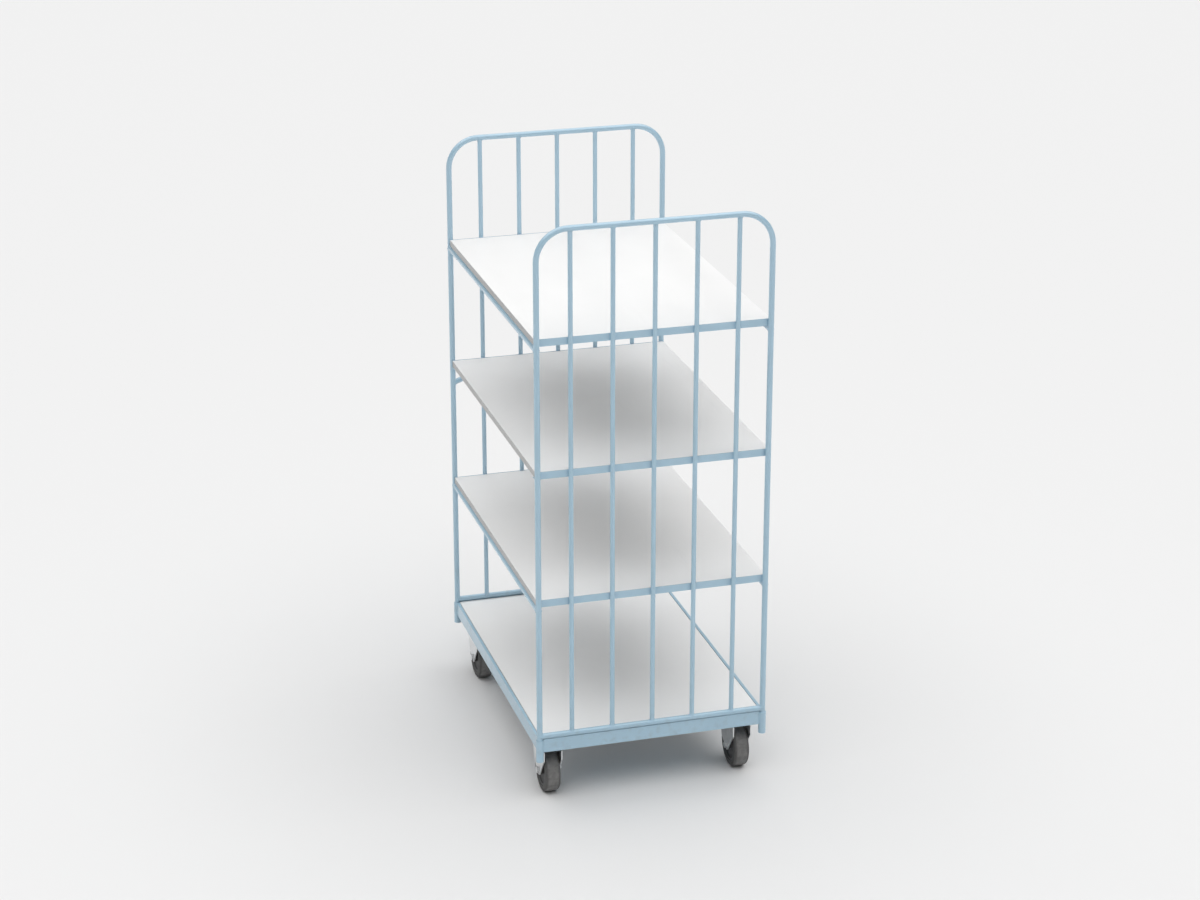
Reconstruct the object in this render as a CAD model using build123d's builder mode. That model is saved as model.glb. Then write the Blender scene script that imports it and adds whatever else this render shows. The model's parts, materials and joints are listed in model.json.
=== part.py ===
from build123d import *
import os
from math import radians, sqrt, tan

# Book cart: a welded rack of two barred end panels and three shelves, plugged into the
# corner sockets of a wheeled base.  Millimetres.  X runs across the cart, Y from the front
# panel to the rear panel, Z up.  The origin is on the floor under the middle of the cart's
# overall box, push handle included.

# ---------------------------------------------------------------- driving dimensions
# Rack
post_half_x = 325.5      # post axis from the middle of the cart
post_pitch_y = 978.0     # front post axis to rear post axis
tube_r = 8.0             # posts, hoops, foot tubes, side tubes and handle
tube_wall = 1.5
root_gap = 0.05          # weld root gap between a saddle-cut end and its tube
top_tube_z = 1655.0      # axis of the hoops' top run
hoop_bend_r = 87.0       # bend radius of the hoops' corners, at the tube's axis
bar_r = 6.5
bar_wall = 1.2
bar_pitch = 116.3
bar_count = 5
handle_z = 909.0
handle_reach = 65.0      # how far the handle's grip stands out from the posts
handle_slope = 40.0      # degrees between the handle's legs and the panel
handle_bend_r = 45.0

# Shelves
shelf_levels = {"top": 1356.0, "middle": 982.6, "lower": 609.2}
side_tube_levels = ("top", "lower")
board_t = 18.0
board_half_x = 329.0
board_end_gap = 1.0
rail_h = 20.0
rail_t = 2.0
rail_half_x = 331.0

# Base
base_z = 155.0           # underside of the rim, where the casters bolt on
rim_h = 40.0
rim_t = 8.0
socket_r = 10.65
socket_bore_r = 8.05
socket_z = (127.0, 192.0)
post_foot_z = 132.0
lift_gap = 0.3           # foot tube above the rim
ledge_w = 20.0
ledge_t = 3.0
beam_w = 110.0
beam_t = 4.0
deck_gap = 1.5

# Casters
wheel_r = 62.5
wheel_w = 43.0
trail = 28.0             # wheel axle ahead of the swivel axis
king_half_x = 278.0
king_shift_x = -5.0      # all four casters sit this much off the middle
king_inset_y = 102.0     # swivel axis from the post line
plate_size = (80.0, 105.0, 4.0)
plate_holes = (54.0, 80.0)

# ---------------------------------------------------------------- derived places
overall_y = post_pitch_y + socket_r + handle_reach + tube_r
front_y = -overall_y / 2 + socket_r
rear_y = front_y + post_pitch_y
mid_y = (front_y + rear_y) / 2
rim_top = base_z + rim_h
foot_tube_z = rim_top + lift_gap + tube_r
bar_offset = tube_r - bar_r                  # brings the bars against the shelf rails
ends = {"front": (front_y, 1), "rear": (rear_y, -1)}      # post line, inward direction
sides = {"left": -1, "right": 1}
corners = {
    f"{end}_{side}": (sides[side] * post_half_x, ends[end][0]) for end in ends for side in sides
}
casters = {
    f"{end}_{side}": (
        sides[side] * king_half_x + king_shift_x,
        ends[end][0] + ends[end][1] * king_inset_y,
    )
    for end in ends
    for side in sides
}
through = 400.0          # longer than any hole it cuts

os.makedirs("parts", exist_ok=True)


# ---------------------------------------------------------------- rack
# Each hoop is one bent tube: two posts and the top run.
for end, (post_y, inward) in ends.items():
    with BuildPart() as hoop:
        with BuildLine(Plane.XZ.offset(-post_y)) as hoop_path:
            FilletPolyline(
                (-post_half_x, post_foot_z),
                (-post_half_x, top_tube_z),
                (post_half_x, top_tube_z),
                (post_half_x, post_foot_z),
                radius=hoop_bend_r,
            )
        with BuildSketch(Plane.XY.offset(post_foot_z)):
            with Locations((-post_half_x, post_y)):
                Circle(tube_r)
                Circle(tube_r - tube_wall, mode=Mode.SUBTRACT)
        sweep(path=hoop_path.line)
    hoop.part.label = f"hoop_{end}"
    export_step(hoop.part, f"parts/hoop_{end}.step")

# A foot tube joins the two posts just above the rim; its ends are saddle-cut to them.
for end, (post_y, inward) in ends.items():
    with BuildPart() as foot_tube:
        with BuildSketch(Plane.YZ.offset(-post_half_x)):
            with Locations((post_y, foot_tube_z)):
                Circle(tube_r)
                Circle(tube_r - tube_wall, mode=Mode.SUBTRACT)
        extrude(amount=2 * post_half_x)
        with Locations((-post_half_x, post_y, foot_tube_z), (post_half_x, post_y, foot_tube_z)):
            Cylinder(tube_r + root_gap, 4 * tube_r, mode=Mode.SUBTRACT)
    foot_tube.part.label = f"foot_tube_{end}"
    export_step(foot_tube.part, f"parts/foot_tube_{end}.step")

# Upright bars between the foot tube and the hoop's top run, saddle-cut at both ends.
for end, (post_y, inward) in ends.items():
    bar_y = post_y + inward * bar_offset
    with BuildPart() as bars:
        with BuildSketch(Plane.XY.offset(foot_tube_z)):
            with Locations((0, bar_y)):
                with GridLocations(bar_pitch, 0, bar_count, 1):
                    Circle(bar_r)
                    Circle(bar_r - bar_wall, mode=Mode.SUBTRACT)
        extrude(amount=top_tube_z - foot_tube_z)
        with Locations((0, post_y, foot_tube_z), (0, post_y, top_tube_z)):
            Cylinder(tube_r + root_gap, 2 * post_half_x, rotation=(0, 90, 0), mode=Mode.SUBTRACT)
    bars.part.label = f"bars_{end}"
    export_step(bars.part, f"parts/bars_{end}.step")

# Shelf rails: folded angles across each end panel.  The upright leg bears on posts and
# bars, the flat leg carries the board.
screw_x = (-190.0, 190.0)
screw_r = 2.0
screw_hole_r = 2.1
screw_head_r = 4.0
screw_head_h = 2.4
screw_len = 14.0
screw_y = {end: post_y + inward * (tube_r + 0.6 * rail_h) for end, (post_y, inward) in ends.items()}

for level, top_z in shelf_levels.items():
    for end, (post_y, inward) in ends.items():
        back = post_y + inward * tube_r
        with BuildPart() as shelf_rail:
            with BuildSketch(Plane.YZ.offset(-rail_half_x)):
                with BuildLine():
                    Polyline(
                        (back, top_z),
                        (back + inward * rail_t, top_z),
                        (back + inward * rail_t, top_z - rail_h + rail_t),
                        (back + inward * rail_h, top_z - rail_h + rail_t),
                        (back + inward * rail_h, top_z - rail_h),
                        (back, top_z - rail_h),
                        close=True,
                    )
                make_face()
            extrude(amount=2 * rail_half_x)
            if level in side_tube_levels:
                with Locations(*[(x, screw_y[end], top_z) for x in screw_x]):
                    Cylinder(screw_hole_r, through / 4, mode=Mode.SUBTRACT)
        shelf_rail.part.label = f"shelf_rail_{level}_{end}"
        export_step(shelf_rail.part, f"parts/shelf_rail_{level}_{end}.step")

# Side tubes tie the two end panels together just below the top and lower shelves.
for level in side_tube_levels:
    side_tube_z = shelf_levels[level] - rail_h - tube_r
    for side, sign in sides.items():
        with BuildPart() as side_tube:
            with BuildSketch(Plane.XZ.offset(-front_y)):
                with Locations((sign * post_half_x, side_tube_z)):
                    Circle(tube_r)
                    Circle(tube_r - tube_wall, mode=Mode.SUBTRACT)
            extrude(amount=-post_pitch_y)
            with Locations(*[(sign * post_half_x, y, side_tube_z) for y in (front_y, rear_y)]):
                Cylinder(tube_r + root_gap, 4 * tube_r, mode=Mode.SUBTRACT)
        side_tube.part.label = f"side_tube_{level}_{side}"
        export_step(side_tube.part, f"parts/side_tube_{level}_{side}.step")

# Shelf boards lie between the rails' upright legs.  The top and lower boards are screwed
# down from below; the middle one lies loose.
board_len = post_pitch_y - 2 * (tube_r + rail_t + board_end_gap)
for level, top_z in shelf_levels.items():
    with BuildPart() as shelf_board:
        with Locations((0, mid_y, top_z - board_t / 2)):
            Box(2 * board_half_x, board_len, board_t)
        fillet(shelf_board.edges().filter_by(Axis.Z), 2.0)
        chamfer(shelf_board.faces().sort_by(Axis.Z)[-1].edges(), 0.6)
        chamfer(shelf_board.faces().sort_by(Axis.Z)[0].edges(), 0.6)
        if level in side_tube_levels:
            screw_points = [(x, y, top_z - board_t) for x in screw_x for y in screw_y.values()]
            with Locations(*screw_points):
                Cylinder(screw_hole_r, 2 * screw_len, mode=Mode.SUBTRACT)
    shelf_board.part.label = f"shelf_board_{level}"
    export_step(shelf_board.part, f"parts/shelf_board_{level}.step")

with BuildPart() as shelf_screws:
    for level in side_tube_levels:
        seat_z = shelf_levels[level] - rail_h
        with BuildSketch(Plane.XY.offset(seat_z - screw_head_h)):
            with Locations(*[(x, y) for x in screw_x for y in screw_y.values()]):
                Circle(screw_head_r)
        extrude(amount=screw_head_h)
        with BuildSketch(Plane.XY.offset(seat_z)):
            with Locations(*[(x, y) for x in screw_x for y in screw_y.values()]):
                Circle(screw_r)
        extrude(amount=screw_len)
shelf_screws.part.label = "shelf_screws"
export_step(shelf_screws.part, "parts/shelf_screws.step")

# Push handle: one tube with sloping legs and a straight grip, between the rear posts.
handle_half_x = post_half_x - 5.0
handle_run = handle_reach / tan(radians(handle_slope))
with BuildPart() as push_handle:
    with BuildLine(Plane.XY.offset(handle_z)) as handle_path:
        FilletPolyline(
            (-post_half_x, rear_y),
            (handle_run - post_half_x, rear_y + handle_reach),
            (post_half_x - handle_run, rear_y + handle_reach),
            (post_half_x, rear_y),
            radius=handle_bend_r,
        )
    with BuildSketch(Plane(origin=handle_path.line @ 0, z_dir=handle_path.line % 0)):
        Circle(tube_r)
        Circle(tube_r - tube_wall, mode=Mode.SUBTRACT)
    sweep(path=handle_path.line)
    with Locations((-post_half_x, rear_y, handle_z), (post_half_x, rear_y, handle_z)):
        Cylinder(tube_r + root_gap, 6 * tube_r, mode=Mode.SUBTRACT)
    # Trims the thin feather edges beside each saddle cut.
    split(bisect_by=Plane.YZ.offset(-handle_half_x), keep=Keep.TOP)
    split(bisect_by=Plane.YZ.offset(handle_half_x), keep=Keep.BOTTOM)
push_handle.part.label = "push_handle"
export_step(push_handle.part, "parts/push_handle.step")


# ---------------------------------------------------------------- base
# Rim: four flat bars on edge, saddle-cut to the corner sockets.
for end, (post_y, inward) in ends.items():
    with BuildPart() as end_rim:
        with Locations((0, post_y, base_z + rim_h / 2)):
            Box(2 * post_half_x, rim_t, rim_h)
        with Locations((-post_half_x, post_y, base_z), (post_half_x, post_y, base_z)):
            Cylinder(socket_r, through, mode=Mode.SUBTRACT)
    end_rim.part.label = f"base_rail_{end}"
    export_step(end_rim.part, f"parts/base_rail_{end}.step")

for side, sign in sides.items():
    with BuildPart() as side_rim:
        with Locations((sign * post_half_x, mid_y, base_z + rim_h / 2)):
            Box(rim_t, post_pitch_y, rim_h)
        with Locations(*[(sign * post_half_x, y, base_z) for y in (front_y, rear_y)]):
            Cylinder(socket_r, through, mode=Mode.SUBTRACT)
    side_rim.part.label = f"base_rail_{side}"
    export_step(side_rim.part, f"parts/base_rail_{side}.step")

# Sockets: short tubes that hold the rack's posts.
for corner, (x, y) in corners.items():
    with BuildPart() as socket:
        with BuildSketch(Plane.XY.offset(socket_z[0])):
            with Locations((x, y)):
                Circle(socket_r)
                Circle(socket_bore_r, mode=Mode.SUBTRACT)
        extrude(amount=socket_z[1] - socket_z[0])
        chamfer(socket.edges().filter_by(GeomType.CIRCLE).group_by(Axis.Z)[-1], 0.5)
    socket.part.label = f"socket_{corner}"
    export_step(socket.part, f"parts/socket_{corner}.step")

# Ledges: angles inside the rim that carry the deck.
deck_z = rim_top - board_t
rim_in_x = post_half_x - rim_t / 2
ledge_clear = 14.0       # ledge ends from the socket axes
ledge_half_y = post_pitch_y / 2 - ledge_clear
ledge_half_x = rim_in_x - ledge_w - 1.5
with BuildPart() as deck_ledges:
    for sign in sides.values():
        edge = sign * rim_in_x
        with BuildSketch(Plane.XZ.offset(-(mid_y - ledge_half_y))):
            with BuildLine():
                Polyline(
                    (edge, deck_z),
                    (edge - sign * ledge_w, deck_z),
                    (edge - sign * ledge_w, deck_z - ledge_t),
                    (edge - sign * ledge_t, deck_z - ledge_t),
                    (edge - sign * ledge_t, deck_z - ledge_w),
                    (edge, deck_z - ledge_w),
                    close=True,
                )
            make_face()
        extrude(amount=-2 * ledge_half_y)
    for post_y, inward in ends.values():
        edge = post_y + inward * rim_t / 2
        with BuildSketch(Plane.YZ.offset(-ledge_half_x)):
            with BuildLine():
                Polyline(
                    (edge, deck_z),
                    (edge + inward * ledge_w, deck_z),
                    (edge + inward * ledge_w, deck_z - ledge_t),
                    (edge + inward * ledge_t, deck_z - ledge_t),
                    (edge + inward * ledge_t, deck_z - ledge_w),
                    (edge, deck_z - ledge_w),
                    close=True,
                )
            make_face()
        extrude(amount=2 * ledge_half_x)
deck_ledges.part.label = "deck_ledges"
export_step(deck_ledges.part, "parts/deck_ledges.step")

# Deck board, dropped in flush with the rim and notched round the sockets.
deck_half_x = rim_in_x - deck_gap
deck_half_y = post_pitch_y / 2 - rim_t / 2 - deck_gap
with BuildPart() as deck_board:
    with Locations((0, mid_y, deck_z + board_t / 2)):
        Box(2 * deck_half_x, 2 * deck_half_y, board_t)
    chamfer(deck_board.faces().sort_by(Axis.Z)[-1].edges(), 0.6)
    with Locations(*[(x, y, deck_z) for x, y in corners.values()]):
        Cylinder(socket_r + deck_gap, through, mode=Mode.SUBTRACT)
deck_board.part.label = "deck_board"
export_step(deck_board.part, "parts/deck_board.step")

# Caster beams: folded channels across the base, open upwards.
hole_r = 4.5
beam_half_x = rim_in_x - ledge_t
beam_top = deck_z - ledge_t
for end, (post_y, inward) in ends.items():
    king_y = post_y + inward * king_inset_y
    with BuildPart() as caster_beam:
        with Locations((0, king_y, (base_z + beam_top) / 2)):
            Box(2 * beam_half_x, beam_w, beam_top - base_z)
        with Locations((0, king_y, base_z + beam_t)):
            Box(
                2 * beam_half_x,
                beam_w - 2 * beam_t,
                through,
                align=(Align.CENTER, Align.CENTER, Align.MIN),
                mode=Mode.SUBTRACT,
            )
        with Locations(*[(*casters[f"{end}_{side}"], base_z) for side in sides]):
            with GridLocations(plate_holes[0], plate_holes[1], 2, 2):
                Cylinder(hole_r, 4 * beam_t, mode=Mode.SUBTRACT)
    caster_beam.part.label = f"caster_beam_{end}"
    export_step(caster_beam.part, f"parts/caster_beam_{end}.step")


# ---------------------------------------------------------------- caster tops, on the base
race_r = 22.0            # ball circle
race_half_w = 7.0
ball_r = 3.0
groove_r = 3.15
ball_count = 12
race_z = 145.5           # plane of the ball centres
upper_race_z = 147.3
lower_race_z = 143.7
pin_r = 6.0
pin_hole_r = 6.06
plate_z = base_z - plate_size[2]

for corner, (x, y) in casters.items():
    with BuildPart() as caster_plate:
        with BuildSketch(Plane.XY.offset(plate_z)):
            with Locations((x, y)):
                RectangleRounded(plate_size[0], plate_size[1], 8.0)
        extrude(amount=plate_size[2])
        with BuildSketch(Plane.XY.offset(upper_race_z)):
            with Locations((x, y)):
                Circle(race_r + race_half_w)
        extrude(amount=plate_z - upper_race_z)
        with Locations((x, y, race_z)):
            Torus(race_r, groove_r, mode=Mode.SUBTRACT)
            Cylinder(pin_hole_r, through / 4, mode=Mode.SUBTRACT)
            with GridLocations(plate_holes[0], plate_holes[1], 2, 2):
                Cylinder(hole_r, through / 4, mode=Mode.SUBTRACT)
    caster_plate.part.label = f"caster_plate_{corner}"
    export_step(caster_plate.part, f"parts/caster_plate_{corner}.step")

# Kingpins: shank flush with the plate's top and a hexagon nut under the fork's crown.
crown_t = 3.5
crown_top = 141.0
crown_z = crown_top - crown_t
nut_h = 8.0
nut_gap = 0.3
king_nut_af = 19.0
with BuildPart() as kingpins:
    with BuildSketch(Plane.XY.offset(crown_z - nut_gap - nut_h)):
        with Locations(*casters.values()):
            RegularPolygon(king_nut_af / 2, 6, major_radius=False)
    extrude(amount=nut_h)
    with BuildSketch(Plane.XY.offset(crown_z - nut_gap - nut_h - 2.0)):
        with Locations(*casters.values()):
            Circle(pin_r)
    extrude(amount=base_z - crown_z + nut_gap + nut_h + 2.0)
kingpins.part.label = "kingpins"
export_step(kingpins.part, "parts/kingpins.step")

with BuildPart() as swivel_balls:
    with Locations(*[(x, y, race_z) for x, y in casters.values()]):
        with PolarLocations(race_r, ball_count):
            Sphere(ball_r)
swivel_balls.part.label = "swivel_balls"
export_step(swivel_balls.part, "parts/swivel_balls.step")

# M8 bolts from below; each has its nut on the beam as a second solid.
bolt_r = 4.0
bolt_head_h = 5.3
bolt_nut_h = 6.5
bolt_af = 13.0
thread_gap = 0.03
bolt_tail = 3.0
with BuildPart() as caster_bolts:
    for x, y in casters.values():
        with BuildSketch(Plane.XY.offset(plate_z - bolt_head_h)):
            with Locations((x, y)):
                with GridLocations(plate_holes[0], plate_holes[1], 2, 2):
                    RegularPolygon(bolt_af / 2, 6, major_radius=False)
        extrude(amount=bolt_head_h)
        with BuildSketch(Plane.XY.offset(plate_z)):
            with Locations((x, y)):
                with GridLocations(plate_holes[0], plate_holes[1], 2, 2):
                    Circle(bolt_r)
        extrude(amount=plate_size[2] + beam_t + bolt_nut_h + bolt_tail)
        with BuildSketch(Plane.XY.offset(base_z + beam_t)):
            with Locations((x, y)):
                with GridLocations(plate_holes[0], plate_holes[1], 2, 2):
                    RegularPolygon(bolt_af / 2, 6, major_radius=False)
                    Circle(bolt_r + thread_gap, mode=Mode.SUBTRACT)
        extrude(amount=bolt_nut_h)
caster_bolts.part.label = "caster_bolts"
export_step(caster_bolts.part, "parts/caster_bolts.step")


# ---------------------------------------------------------------- forks and wheels
leg_t = 3.0
leg_in = 24.0            # inner face of a leg from the wheel's middle plane
leg_out = leg_in + leg_t
leg_tip_r = 15.0
bend_r = 3.0             # crown to leg, outside
axle_r = 5.0
axle_hole_r = 5.05
sleeve_r = 7.5
hub_bore_r = 7.56
hub_r = 14.0
hub_half = 23.4
rim_ring_r = 40.0
tyre_in_r = 46.0
tyre_shoulder = 6.0
web_w = 30.0             # wheel core between hub and rim
crown_nose = 36.0        # crown's near edge from the axle, between the legs
axle_af = 17.0
axle_head_h = 6.4
axle_nut_h = 8.0
axle_tail = 3.0
# Leg outline in Y and Z from the axle, down the near edge and up the far edge.
leg_half_near = 56.0
leg_half_far = 57.0
leg_knee_near = 50.0
leg_knee_far = 45.0

for corner, (king_x, king_y) in casters.items():
    axle_y = king_y - trail
    with BuildPart() as fork:
        for start in (-leg_out, leg_in):
            with BuildSketch(Plane.YZ.offset(king_x + start)) as leg:
                with BuildLine():
                    Polyline(
                        (axle_y - leg_half_near, crown_top),
                        (axle_y - leg_half_near, wheel_r + leg_knee_near),
                        (axle_y - 0.85 * leg_tip_r, wheel_r - leg_tip_r / 2),
                        (axle_y + 0.60 * leg_tip_r, wheel_r - 0.8 * leg_tip_r),
                        (axle_y + 0.8 * leg_half_far, wheel_r + 0.8 * leg_tip_r),
                        (axle_y + leg_half_far, wheel_r + leg_knee_far),
                        (axle_y + leg_half_far, crown_top),
                        close=True,
                    )
                make_face()
                with Locations((axle_y, wheel_r)):
                    Circle(leg_tip_r)
                    Circle(axle_hole_r, mode=Mode.SUBTRACT)
            extrude(amount=leg_t)
        with BuildSketch(Plane.XY.offset(crown_z)):
            with Locations((king_x, axle_y + (leg_half_far - leg_half_near) / 2)):
                Rectangle(2 * leg_out, leg_half_near + leg_half_far)
        extrude(amount=crown_t)
        fillet(fork.edges().filter_by(Axis.Y).group_by(Axis.Z)[-1], bend_r)
        with Locations((king_x, axle_y - (leg_half_near + crown_nose) / 2, crown_z)):
            Box(2 * leg_in, leg_half_near - crown_nose, 2 * crown_t, mode=Mode.SUBTRACT)
        with BuildSketch(Plane.XY.offset(crown_z)):
            with Locations((king_x, king_y)):
                Circle(race_r + race_half_w + 3.0)
        extrude(amount=crown_t)
        with BuildSketch(Plane.XY.offset(crown_top)):
            with Locations((king_x, king_y)):
                Circle(race_r + race_half_w)
        extrude(amount=lower_race_z - crown_top)
        with Locations((king_x, king_y, race_z)):
            Torus(race_r, groove_r, mode=Mode.SUBTRACT)
            Cylinder(pin_hole_r, through / 8, mode=Mode.SUBTRACT)
    fork.part.label = f"fork_{corner}"
    export_step(fork.part, f"parts/fork_{corner}.step")

    # Axle bolt, and its lock nut as a second solid.
    with BuildPart() as axle_bolt:
        with BuildSketch(Plane.YZ.offset(king_x - leg_out - axle_head_h)):
            with Locations((axle_y, wheel_r)):
                RegularPolygon(axle_af / 2, 6, major_radius=False)
        extrude(amount=axle_head_h)
        with BuildSketch(Plane.YZ.offset(king_x - leg_out)):
            with Locations((axle_y, wheel_r)):
                Circle(axle_r)
        extrude(amount=2 * leg_out + axle_nut_h + axle_tail)
        with BuildSketch(Plane.YZ.offset(king_x + leg_out)):
            with Locations((axle_y, wheel_r)):
                RegularPolygon(axle_af / 2, 6, major_radius=False)
                Circle(axle_r + thread_gap, mode=Mode.SUBTRACT)
        extrude(amount=axle_nut_h)
    axle_bolt.part.label = f"axle_bolt_{corner}"
    export_step(axle_bolt.part, f"parts/axle_bolt_{corner}.step")

    # Sleeve clamped between the legs; the wheel's hub turns on it.
    with BuildPart() as axle_sleeve:
        with BuildSketch(Plane.YZ.offset(king_x - leg_in)):
            with Locations((axle_y, wheel_r)):
                Circle(sleeve_r)
                Circle(axle_hole_r, mode=Mode.SUBTRACT)
        extrude(amount=2 * leg_in)
    axle_sleeve.part.label = f"axle_sleeve_{corner}"
    export_step(axle_sleeve.part, f"parts/axle_sleeve_{corner}.step")

    axle = Axis((king_x, axle_y, wheel_r), (1, 0, 0))
    with BuildPart() as wheel_core:
        with BuildSketch(Plane.XZ.offset(-axle_y)):
            with Locations((king_x, wheel_r + (hub_bore_r + hub_r) / 2)):
                Rectangle(2 * hub_half, hub_r - hub_bore_r)
            with Locations((king_x, wheel_r + (hub_r + rim_ring_r) / 2)):
                Rectangle(web_w, rim_ring_r - hub_r + 1.0)
            with Locations((king_x, wheel_r + (rim_ring_r + tyre_in_r) / 2)):
                Rectangle(wheel_w - 4.0, tyre_in_r - rim_ring_r)
        revolve(axis=axle)
        fillet(wheel_core.edges().filter_by(GeomType.CIRCLE).filter_by(lambda e: 39 < e.radius < 41), 1.5)
    wheel_core.part.label = f"wheel_core_{corner}"
    export_step(wheel_core.part, f"parts/wheel_core_{corner}.step")

    with BuildPart() as tyre:
        with BuildSketch(Plane.XZ.offset(-axle_y)) as tread:
            with Locations((king_x, wheel_r + (tyre_in_r + wheel_r) / 2)):
                Rectangle(wheel_w, wheel_r - tyre_in_r)
            fillet(tread.vertices().group_by(Axis.Y)[-1], tyre_shoulder)
            fillet(tread.vertices().group_by(Axis.Y)[0], 1.0)
        revolve(axis=axle)
    tyre.part.label = f"tyre_{corner}"
    export_step(tyre.part, f"parts/tyre_{corner}.step")
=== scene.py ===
import json
import math

import bmesh
import bpy
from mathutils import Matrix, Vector


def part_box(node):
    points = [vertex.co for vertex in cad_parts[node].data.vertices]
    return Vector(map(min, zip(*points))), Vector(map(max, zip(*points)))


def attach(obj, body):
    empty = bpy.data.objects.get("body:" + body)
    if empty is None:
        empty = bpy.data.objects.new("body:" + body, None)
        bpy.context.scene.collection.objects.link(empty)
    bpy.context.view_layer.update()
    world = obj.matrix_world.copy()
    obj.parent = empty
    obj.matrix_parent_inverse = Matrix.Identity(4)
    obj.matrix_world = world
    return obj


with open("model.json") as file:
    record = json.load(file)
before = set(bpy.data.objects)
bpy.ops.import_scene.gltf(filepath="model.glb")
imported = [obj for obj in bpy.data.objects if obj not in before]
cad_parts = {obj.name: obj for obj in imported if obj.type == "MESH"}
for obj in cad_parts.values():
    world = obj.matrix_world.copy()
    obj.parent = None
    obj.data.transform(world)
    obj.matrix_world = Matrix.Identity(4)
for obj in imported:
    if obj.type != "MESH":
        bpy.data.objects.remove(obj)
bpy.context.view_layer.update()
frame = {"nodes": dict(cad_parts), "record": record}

# The looks of the book cart: powder-coated tube with its welds, laminate boards and
# zinc-plated swivel casters.  Metres, in the CAD frame: X across, Y to the rear, Z up.

nodes = frame["nodes"]
record = frame["record"]
scene = bpy.context.scene
MM = 0.001
X, Y, Z = Vector((1, 0, 0)), Vector((0, 1, 0)), Vector((0, 0, 1))
ends = {"front": 1, "rear": -1}          # inward direction along Y
sides = {"left": -1, "right": 1}
levels = ("top", "middle", "lower")
side_tube_levels = ("top", "lower")


def centre(name):
    """Middle of a CAD node's box."""
    low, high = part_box(name)
    return (low + high) / 2


# ---------------------------------------------------------------- camera
VIEW_AZIMUTH = -16.2     # degrees off the front, positive to the right
VIEW_ELEVATION = 20.8
VIEW_DISTANCE = 7.934
VIEW_LENS = 82.9         # millimetres, as the sensor
SENSOR_WIDTH = 36.0
AIM_X = -0.010
AIM_Z = 0.839
CLIP_END = 200.0


def make_camera():
    """Looks at the middle of the rack from the photograph's direction and distance."""
    aim = Vector((AIM_X, (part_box("hoop_front")[0].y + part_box("hoop_rear")[1].y) / 2, AIM_Z))
    azimuth, elevation = math.radians(VIEW_AZIMUTH), math.radians(VIEW_ELEVATION)
    back = Vector(
        (
            math.sin(azimuth) * math.cos(elevation),
            -math.cos(azimuth) * math.cos(elevation),
            math.sin(elevation),
        )
    )
    data = bpy.data.cameras.new("camera")
    data.lens = VIEW_LENS
    data.sensor_width = SENSOR_WIDTH
    data.clip_end = CLIP_END
    camera = bpy.data.objects.new("camera", data)
    camera.location = aim + back * VIEW_DISTANCE
    camera.rotation_euler = (-back).to_track_quat("-Z", "Y").to_euler()
    scene.collection.objects.link(camera)
    scene.camera = camera


# ---------------------------------------------------------------- light and floor
SKY_PEAK = 2.5
SKY_TILT = 0.15          # brighter on the right than on the left
# height of the direction above the horizon, as its Z; brightness as a share of SKY_PEAK
SKY_STOPS = (
    (0.0, 0.30), (0.10, 0.10), (0.30, 0.0), (0.45, 0.06), (0.58, 0.16),
    (0.68, 0.45), (0.76, 0.90), (0.84, 1.0), (0.92, 0.75), (1.0, 0.35),
)
FLOOR_HALF = 60.0
FLOOR_GREY = 0.76
FLOOR_ROUGHNESS = 0.85
FLOOR_SPECULAR = 0.1


def make_world():
    """A soft studio dome, brightest in a broad ring about 33 degrees off the zenith."""
    world = bpy.data.worlds.new("studio")
    world.use_nodes = True
    scene.world = world
    scene.view_settings.view_transform = "Standard"
    tree = world.node_tree
    place = tree.nodes.new("ShaderNodeTexCoord")
    split = tree.nodes.new("ShaderNodeSeparateXYZ")
    tree.links.new(place.outputs["Generated"], split.inputs[0])
    ramp = tree.nodes.new("ShaderNodeValToRGB")
    tree.links.new(split.outputs["Z"], ramp.inputs[0])
    while len(ramp.color_ramp.elements) < len(SKY_STOPS):
        ramp.color_ramp.elements.new(0.5)
    for element, (position, level) in zip(ramp.color_ramp.elements, SKY_STOPS):
        element.position = position
        element.color = (level, level, level, 1.0)
    tilt = tree.nodes.new("ShaderNodeMath")
    tilt.operation = "MULTIPLY_ADD"
    tree.links.new(split.outputs["X"], tilt.inputs[0])
    tilt.inputs[1].default_value = SKY_PEAK * SKY_TILT
    tilt.inputs[2].default_value = SKY_PEAK
    tree.links.new(ramp.outputs["Color"], tree.nodes["Background"].inputs["Color"])
    tree.links.new(tilt.outputs[0], tree.nodes["Background"].inputs["Strength"])


def make_floor():
    """A plain pale floor, far larger than the view."""
    mesh = bpy.data.meshes.new("floor")
    corners = [(x * FLOOR_HALF, y * FLOOR_HALF, 0) for x, y in ((-1, -1), (1, -1), (1, 1), (-1, 1))]
    mesh.from_pydata(corners, [], [(0, 1, 2, 3)])
    floor = bpy.data.objects.new("floor", mesh)
    scene.collection.objects.link(floor)
    material = bpy.data.materials.new("studio_floor")
    material.use_nodes = True
    shader = material.node_tree.nodes["Principled BSDF"]
    shader.inputs["Base Color"].default_value = (FLOOR_GREY, FLOOR_GREY, FLOOR_GREY, 1.0)
    shader.inputs["Roughness"].default_value = FLOOR_ROUGHNESS
    shader.inputs["Specular IOR Level"].default_value = FLOOR_SPECULAR
    mesh.materials.append(material)


# ---------------------------------------------------------------- material building
BEVEL_SAMPLES = 6
EDGE_TURN = (0.02, 0.25)     # 1 minus the cosine of the normal's turn: flat, fully an edge


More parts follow.
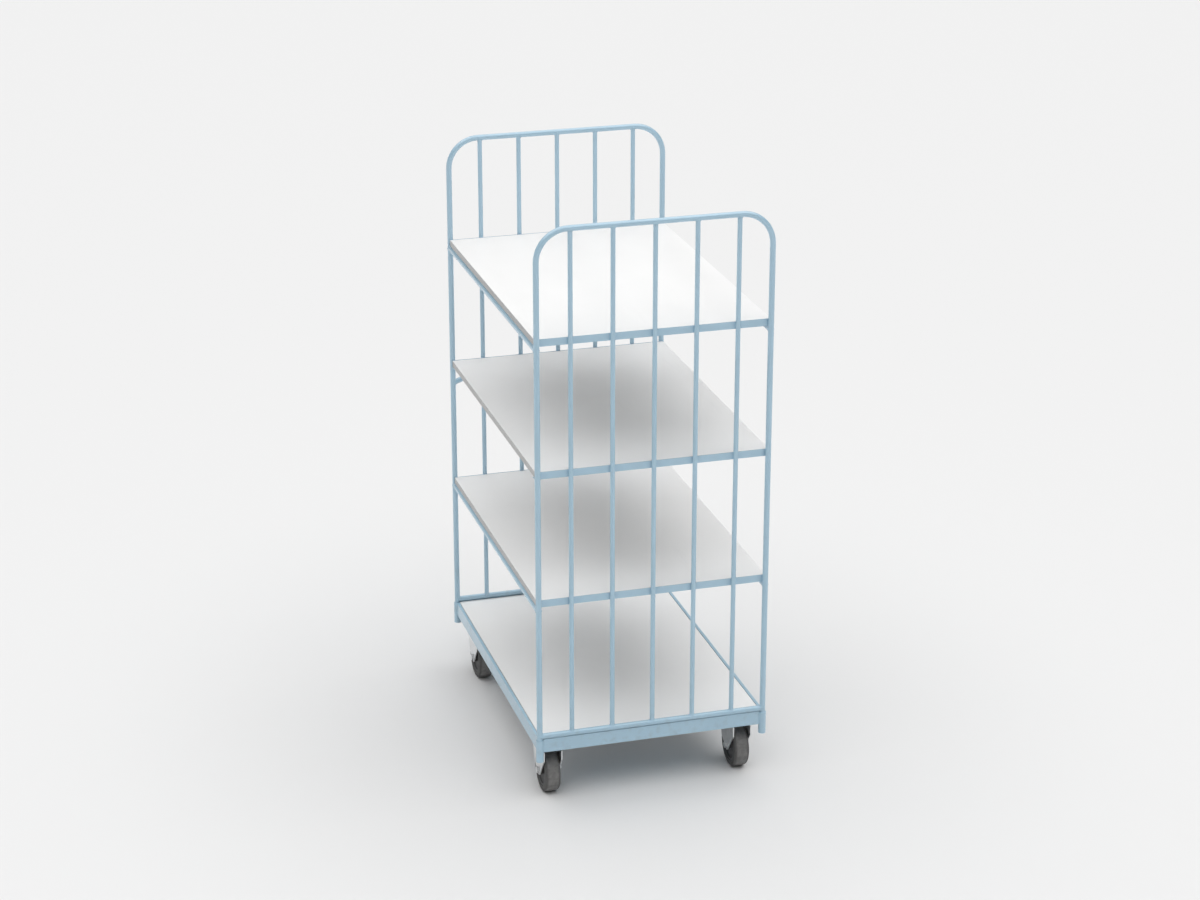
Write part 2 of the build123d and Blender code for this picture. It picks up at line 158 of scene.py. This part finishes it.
class Tree:
    """A material's node tree, with short calls to add its nodes."""

    def __init__(self, name, **constants):
        self.material = bpy.data.materials.new(name)
        self.material.use_nodes = True
        self.tree = self.material.node_tree
        self.shader = self.tree.nodes["Principled BSDF"]
        self.place = self.add("ShaderNodeTexCoord").outputs["Object"]
        self.set(**constants)

    def add(self, kind, **inputs):
        made = self.tree.nodes.new(kind)
        for name, value in inputs.items():
            self.put(made.inputs[name.replace("_", " ")], value)
        return made

    def put(self, socket, value):
        if isinstance(value, bpy.types.NodeSocket):
            self.tree.links.new(value, socket)
        elif isinstance(value, tuple) and len(value) == 3 and socket.type == "RGBA":
            socket.default_value = (*value, 1.0)
        else:
            socket.default_value = value

    def noise(self, scale, detail=3.0, roughness=0.55, stretch=(1.0, 1.0, 1.0)):
        """Noise from 0 to 1 over the object's own coordinates; scale is per metre."""
        mapped = self.add("ShaderNodeMapping", Vector=self.place, Scale=stretch).outputs[0]
        return self.add(
            "ShaderNodeTexNoise", Vector=mapped, Scale=scale, Detail=detail, Roughness=roughness
        ).outputs[0]

    def math(self, operation, a, b=0.0):
        made = self.tree.nodes.new("ShaderNodeMath")
        made.operation = operation
        self.put(made.inputs[0], a)
        self.put(made.inputs[1], b)
        return made.outputs[0]

    def range(self, value, low, high, to_low=0.0, to_high=1.0):
        """Maps low..high to to_low..to_high, and no further."""
        made = self.add("ShaderNodeMapRange", Value=value)
        for index, number in enumerate((low, high, to_low, to_high)):
            made.inputs[index + 1].default_value = number
        return made.outputs[0]

    def mix(self, factor, a, b):
        """Colour a where the factor is 0, b where it is 1."""
        made = self.tree.nodes.new("ShaderNodeMix")
        made.data_type = "RGBA"
        self.put(made.inputs[0], factor)
        self.put(made.inputs[6], a)
        self.put(made.inputs[7], b)
        return made.outputs[2]

    def part(self, vector, axis):
        """One component of a vector."""
        return self.add("ShaderNodeSeparateXYZ", Vector=vector).outputs[axis]

    def edges(self, radius):
        """1 on edges sharper than the radius, 0 on flat and gently curved faces."""
        bevel = self.add("ShaderNodeBevel", Radius=radius)
        bevel.samples = BEVEL_SAMPLES
        dot = self.tree.nodes.new("ShaderNodeVectorMath")
        dot.operation = "DOT_PRODUCT"
        self.put(dot.inputs[0], bevel.outputs[0])
        self.put(dot.inputs[1], self.add("ShaderNodeNewGeometry").outputs["Normal"])
        return self.range(self.math("SUBTRACT", 1.0, dot.outputs["Value"]), *EDGE_TURN)

    def bump(self, height, strength, distance):
        made = self.add("ShaderNodeBump", Height=height, Strength=strength, Distance=distance)
        self.put(self.shader.inputs["Normal"], made.outputs[0])

    def set(self, **inputs):
        for name, value in inputs.items():
            self.put(self.shader.inputs[name.replace("_", " ")], value)
        return self.material


# ---------------------------------------------------------------- materials
# Colours are linear.  Noise scales are per metre, and a noise's range is what of it shows.
def blue_paint():
    """Light blue powder coat: faint orange peel, rubbed edges, dust near the floor."""
    dark, light = (0.385, 0.580, 0.715), (0.408, 0.608, 0.745)
    dust, rubbed = (0.25, 0.29, 0.31), (0.52, 0.60, 0.64)
    dusty_below, clean_above = 0.12, 0.45
    t = Tree("blue_paint", Specular_IOR_Level=0.85, Coat_Weight=0.8, Coat_Roughness=0.26)
    colour = t.mix(t.range(t.noise(6.0), 0.35, 0.65), dark, light)
    near_floor = t.range(t.part(t.place, "Z"), dusty_below, clean_above, 1.0, 0.0)
    grime = t.math("MULTIPLY", t.range(t.noise(38.0, 6.0), 0.52, 0.72), near_floor)
    colour = t.mix(t.math("MULTIPLY", grime, 0.30), colour, dust)
    worn = t.math("MULTIPLY", t.edges(1.1 * MM), t.range(t.noise(60.0, 5.0), 0.50, 0.66))
    colour = t.mix(t.math("MULTIPLY", worn, 0.55), colour, rubbed)
    t.bump(t.noise(420.0, 2.0), 0.10, 0.30 * MM)
    rough = t.range(t.noise(24.0, 4.0), 0.3, 0.7, 0.30, 0.42)
    return t.set(Base_Color=colour, Roughness=rough)


def white_board():
    """Melamine laminate: pearl texture, faint scuffs, and a slightly grey edge band that is
    darkened further as painted shade on the side faces.
    """
    dark, light = (0.872, 0.871, 0.867), (0.900, 0.898, 0.893)
    # The edge colour is a slightly grey edge band plus painted shade, which makes the board's side
    # faces dim
    scuff, grey_edge_and_shade, glue_line = (0.55, 0.55, 0.55), (0.50, 0.50, 0.495), (0.42, 0.42, 0.41)
    t = Tree("white_board")
    colour = t.mix(t.range(t.noise(3.0, 4.0), 0.3, 0.7), dark, light)
    streak = t.noise(9.0, 8.0, 0.7, (1.0, 0.12, 1.0))
    colour = t.mix(t.range(streak, 0.62, 0.80, 0.0, 0.16), colour, scuff)
    normal = t.add("ShaderNodeTexCoord").outputs["Normal"]
    up = t.math("ABSOLUTE", t.part(normal, "Z"))          # 1 on the faces, 0 on the edges
    # Side faces: a grey edge band, darkened further as painted shade on every vertical face
    colour = t.mix(t.range(up, 0.55, 0.45), colour, grey_edge_and_shade)
    chamfer = t.math("MULTIPLY", t.range(up, 0.95, 0.85), t.range(up, 0.50, 0.60))
    colour = t.mix(t.math("MULTIPLY", chamfer, 0.5), colour, glue_line)
    t.bump(t.noise(700.0, 2.0), 0.08, 0.20 * MM)
    rough = t.range(streak, 0.35, 0.75, 0.40, 0.60)
    return t.set(Base_Color=colour, Roughness=rough)


def zinc_plate():
    """Bright zinc: mottled, stained in places, faintly brushed."""
    dark, light, stain = (0.74, 0.75, 0.755), (0.86, 0.865, 0.87), (0.42, 0.41, 0.38)
    t = Tree("zinc_plate", Metallic=1.0)
    colour = t.mix(t.range(t.noise(55.0, 5.0), 0.3, 0.7), dark, light)
    colour = t.mix(t.range(t.noise(20.0, 6.0), 0.58, 0.75, 0.0, 0.35), colour, stain)
    brushed = t.noise(160.0, 4.0, 0.6, (1.0, 1.0, 8.0))
    t.bump(brushed, 0.10, 0.15 * MM)
    rough = t.range(brushed, 0.3, 0.7, 0.30, 0.50)
    return t.set(Base_Color=colour, Roughness=rough)


def tyre_rubber():
    """Dark grey rubber, dusty and paler on the tread than on the side walls."""
    dark, light, dust = (0.092, 0.091, 0.090), (0.128, 0.127, 0.125), (0.260, 0.256, 0.250)
    t = Tree("tyre_rubber", Specular_IOR_Level=0.3)
    across = t.part(t.add("ShaderNodeTexCoord").outputs["Generated"], "X")
    off_middle = t.math("ABSOLUTE", t.math("SUBTRACT", across, 0.5))
    tread = t.range(off_middle, 0.42, 0.30)
    grain = t.noise(160.0, 6.0, 0.65)
    colour = t.mix(t.range(grain, 0.3, 0.7), dark, light)
    dusty = t.math("MULTIPLY", tread, t.range(t.noise(70.0, 6.0), 0.35, 0.70, 0.35, 0.9))
    colour = t.mix(dusty, colour, dust)
    t.bump(grain, 0.25, 0.30 * MM)
    rough = t.range(grain, 0.3, 0.7, 0.70, 0.86)
    return t.set(Base_Color=colour, Roughness=rough)


def wheel_core():
    """Dark moulded polyamide with a fine spark-eroded grain."""
    dark, light = (0.075, 0.075, 0.076), (0.100, 0.100, 0.101)
    t = Tree("wheel_core")
    colour = t.mix(t.range(t.noise(30.0, 4.0), 0.3, 0.7), dark, light)
    t.bump(t.noise(900.0, 2.0), 0.15, 0.15 * MM)
    rough = t.range(t.noise(90.0, 4.0), 0.3, 0.7, 0.48, 0.64)
    return t.set(Base_Color=colour, Roughness=rough)


# ---------------------------------------------------------------- weld beads
TUBE_R = 8.0 * MM
BAR_R = 6.5 * MM
BAR_COUNT = 5
HANDLE_SLOPE = 40.0      # degrees off X, where a leg leaves its post
BEAD_FACETS = 8
BEAD_TAPER = (0.35, 0.8, 1.0)                # share of the radius from an open end inwards
BEAD_RIPPLES = ((0.10, 2.3), (0.04, 5.1))    # share of the radius, radians from point to point
SADDLE_BEAD_R = 1.5 * MM
SADDLE_POINTS = 40
STITCH_PITCH = 1.6 * MM
RAIL_BEAD_R = 1.5 * MM
RAIL_BEAD_OUT = 0.6 * MM                     # a bead's axis, outside the rail's face
RAIL_BEAD_INSET = 3 * MM                     # its ends, from the rail's edges
BAR_CREVICE = 3.8 * MM                       # from an upright's axis to the bead beside it
POST_CREVICE = 4.4 * MM
SOCKET_BEAD_R = 2.0 * MM
SOCKET_BEAD_INSET = 2 * MM


def join(bm, first, second, offset=0):
    """Quads from one ring of points to the next, which starts offset points further on."""
    count = len(first)
    for step in range(count):
        after = (step + 1) % count
        far, near = second[(after + offset) % count], second[(step + offset) % count]
        bm.faces.new((first[step], first[after], far, near))


def bead(bm, points, radius, closed=False):
    """A rippled weld bead along the points; open ends taper off."""
    last = len(points) - 1
    rings = []
    for index, point in enumerate(points):
        ahead = points[(index + 1) % len(points)] if closed or index < last else point
        behind = points[index - 1] if closed or index else point
        along = (ahead - behind).normalized()
        out = out - along * out.dot(along) if rings else along.orthogonal()
        out.normalize()
        across = along.cross(out)
        size = radius * (1.0 + sum(share * math.sin(rate * index) for share, rate in BEAD_RIPPLES))
        if not closed:
            to_end = min(index, last - index)
            size *= BEAD_TAPER[min(to_end, len(BEAD_TAPER) - 1)]
        ring = []
        for step in range(BEAD_FACETS):
            angle = 2 * math.pi * step / BEAD_FACETS
            spoke = out * math.cos(angle) + across * math.sin(angle)
            ring.append(bm.verts.new(point + spoke * size))
        rings.append(ring)
    for first, second in zip(rings, rings[1:]):
        join(bm, first, second)
    if closed:
        # The rings may have turned along the loop, so the last one meets the first's nearest point.
        first, second = rings[-1], rings[0]
        offset = min(range(BEAD_FACETS), key=lambda k: (first[0].co - second[k].co).length)
        join(bm, first, second, offset)
    else:
        bm.faces.new(list(reversed(rings[0])))
        bm.faces.new(rings[-1])


def saddle(bm, foot, stem, run, stem_r, run_r, shift=0.0):
    """The bead round a tube, along stem, that lands on a tube along run through foot."""
    third = stem.cross(run)
    points = []
    for index in range(SADDLE_POINTS):
        angle = 2 * math.pi * index / SADDLE_POINTS
        off = stem_r * math.sin(angle) + shift
        rise = math.sqrt(max(run_r**2 - off**2, 0.0))
        points.append(foot + run * stem_r * math.cos(angle) + third * off + stem * rise)
    bead(bm, points, SADDLE_BEAD_R, closed=True)


def stitch(bm, start, end, radius):
    """A straight bead from start to end."""
    count = max(4, round((end - start).length / STITCH_PITCH))
    bead(bm, [start.lerp(end, index / count) for index in range(count + 1)], radius)


def piece(name, bm, body, slot):
    """Turns the bmesh into a smooth object that rides on a body."""
    bmesh.ops.recalc_face_normals(bm, faces=bm.faces)
    mesh = bpy.data.meshes.new(name)
    bm.to_mesh(mesh)
    bm.free()
    mesh.polygons.foreach_set("use_smooth", [True] * len(mesh.polygons))
    mesh.materials.append(materials[slot])
    made = bpy.data.objects.new(name, mesh)
    scene.collection.objects.link(made)
    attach(made, body)


def post_axis(end, side):
    """A point on a post's axis, at floor height."""
    low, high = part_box(f"hoop_{end}")
    return Vector((sides[side] * (high.x - TUBE_R), (low.y + high.y) / 2, 0.0))


def bar_positions(end):
    """X of each bar's axis: evenly spaced between the outermost two."""
    low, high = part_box(f"bars_{end}")
    pitch = (high.x - low.x - 2 * BAR_R) / (BAR_COUNT - 1)
    return [low.x + BAR_R + index * pitch for index in range(BAR_COUNT)]


def panel_welds(end):
    """Bars to foot tube and top run, foot tube to posts, shelf rails to posts and bars."""
    bm = bmesh.new()
    inward = ends[end]
    hoop_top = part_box(f"hoop_{end}")[1].z - TUBE_R
    foot = centre(f"foot_tube_{end}")
    shift = centre(f"bars_{end}").y - foot.y
    for x in bar_positions(end):
        # The shift is along stem.cross(run), which is +Y for Z and X, and -Y for -Z and X.
        saddle(bm, Vector((x, foot.y, foot.z)), Z, X, BAR_R, TUBE_R, shift)
        saddle(bm, Vector((x, foot.y, hoop_top)), -Z, X, BAR_R, TUBE_R, -shift)
    for side, sign in sides.items():
        post = post_axis(end, side)
        saddle(bm, Vector((post.x, post.y, foot.z)), X * -sign, Z, TUBE_R, TUBE_R)
    uprights = [(x, BAR_CREVICE) for x in bar_positions(end)]
    uprights += [(post_axis(end, side).x, POST_CREVICE) for side in sides]
    for level in levels:
        low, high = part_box(f"shelf_rail_{level}_{end}")
        outer_y = (low.y if inward > 0 else high.y) - inward * RAIL_BEAD_OUT
        length = high.z - low.z - 2 * RAIL_BEAD_INSET
        for x, crevice in uprights:
            for way in (-1, 1):
                start = Vector((x + way * crevice, outer_y, low.z + RAIL_BEAD_INSET))
                stitch(bm, start, start + Z * length, RAIL_BEAD_R)
    piece(f"panel_welds_{end}", bm, "rack", "blue_paint")


def side_tube_welds():
    """Both ends of each side tube to the posts."""
    bm = bmesh.new()
    for level in side_tube_levels:
        for side in sides:
            tube = centre(f"side_tube_{level}_{side}")
            for end, inward in ends.items():
                post = post_axis(end, side)
                saddle(bm, Vector((post.x, post.y, tube.z)), Y * inward, Z, TUBE_R, TUBE_R)
    piece("side_tube_welds", bm, "rack", "blue_paint")


def handle_welds():
    """The handle's legs leave the rear posts at a slope towards each other."""
    bm = bmesh.new()
    slope = math.radians(HANDLE_SLOPE)
    for side, sign in sides.items():
        post = post_axis("rear", side)
        stem = Vector((-sign * math.cos(slope), math.sin(slope), 0.0))
        saddle(bm, Vector((post.x, post.y, centre("push_handle").z)), stem, Z, TUBE_R, TUBE_R)
    piece("handle_welds", bm, "rack", "blue_paint")


def base_welds():
    """Upright beads where the rim's bars meet the sockets."""
    bm = bmesh.new()
    for end, inward in ends.items():
        for side, sign in sides.items():
            low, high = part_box(f"socket_{end}_{side}")
            rim_low, rim_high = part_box(f"base_rail_{end}")
            radius = (high.x - low.x) / 2
            half = (rim_high.y - rim_low.y) / 2
            reach = math.sqrt(radius**2 - half**2)
            axis = (low + high) / 2
            top = min(high.z, rim_high.z) - SOCKET_BEAD_INSET
            bottom = rim_low.z + SOCKET_BEAD_INSET
            for offset in (-half, half):
                for dx, dy in ((-sign * reach, offset), (offset, inward * reach)):
                    spot = Vector((axis.x + dx, axis.y + dy, 0.0))
                    stitch(bm, spot + Z * bottom, spot + Z * top, SOCKET_BEAD_R)
    piece("base_welds", bm, "base", "blue_paint")


# ---------------------------------------------------------------- the scene
make_camera()
make_world()
make_floor()

materials = {
    make.__name__: make() for make in (blue_paint, white_board, zinc_plate, tyre_rubber, wheel_core)
}
for part in record["subparts"]:
    mesh = nodes[part["node"]].data
    mesh.materials.clear()
    mesh.materials.append(materials[part["material_slot"]])

for end in ends:
    panel_welds(end)
side_tube_welds()
handle_welds()
base_welds()
